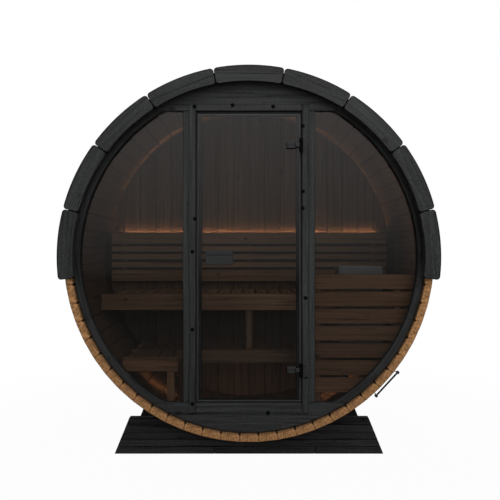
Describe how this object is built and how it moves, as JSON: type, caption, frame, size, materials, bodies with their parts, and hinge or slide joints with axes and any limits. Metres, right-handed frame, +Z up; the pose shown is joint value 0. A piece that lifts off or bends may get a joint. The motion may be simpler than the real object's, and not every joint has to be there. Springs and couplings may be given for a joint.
{
  "type": "barrel sauna",
  "caption": "Barrel sauna cabin of flat wooden staves on two cradles, with a black roof arch, a glazed front with a hinged glass door, and benches, backrest and a guarded heater inside.",
  "frame": {"origin": "on the ground under the middle of the barrel", "axes": "+X to the right seen from the front, +Y from the glazed front to the back wall, +Z up"},
  "size_m": [2.0578, 1.2, 2.1238],
  "materials": {
    "black_stain": "matt black stain with the grain showing",
    "stave_wood": "planed heat-treated softwood, bare",
    "cabin_wood": "planed heat-treated boards, bare",
    "tinted_glass": "bronze-grey tinted toughened glass",
    "hoop_steel": "satin strip steel",
    "black_metal": "matt black powder coat",
    "roofing_felt": "mineral-faced black roofing felt",
    "heater_steel": "satin sheet steel",
    "light_strip": "warm glowing diffuser"
  },
  "bodies": {
    "cabin": {"cradle_front": "black_stain", "cradle_rear": "black_stain", "floor_staves": "stave_wood", "left_staves": "stave_wood", "right_staves": "stave_wood", "roof_staves": "stave_wood", "front_hoop": "hoop_steel", "rear_hoop": "hoop_steel", "front_tension_rod": "black_metal", "rear_tension_rod": "black_metal", "roofing": "roofing_felt", "front_arch": "black_stain", "rear_arch": "black_stain", "rim_left": "black_stain", "rim_right": "black_stain", "header_board": "black_stain", "threshold_board": "black_stain", "left_post": "black_stain", "right_post": "black_stain", "door_casing": "black_stain", "door_stops": "black_stain", "left_pane": "tinted_glass", "right_pane": "tinted_glass", "frame_hinge_leaves": "black_metal", "back_wall": "cabin_wood", "backrest_slats": "cabin_wood", "backrest_battens": "cabin_wood", "backrest_light": "light_strip", "upper_bench_slats": "cabin_wood", "upper_bench_frame": "cabin_wood", "upper_bench_post": "cabin_wood", "lower_bench_slats": "cabin_wood", "lower_bench_frame": "cabin_wood", "side_bench_slats": "cabin_wood", "side_bench_frame": "cabin_wood", "bench_light": "light_strip", "guard_slats": "cabin_wood", "guard_posts": "cabin_wood", "heater": "heater_steel", "heater_legs": "black_metal"},
    "door": {"glass_door": "tinted_glass", "door_hinge_clamps": "black_metal", "outer_handle": "black_metal", "inner_handle": "black_metal"}
  },
  "joints": [
    {"name": "door_swing", "type": "hinge", "parent": "cabin", "child": "door", "pos_m": [0.286, -0.53, 1.0905], "axis": [0, 0, 1], "range_deg": [0, 105]}
  ]
}
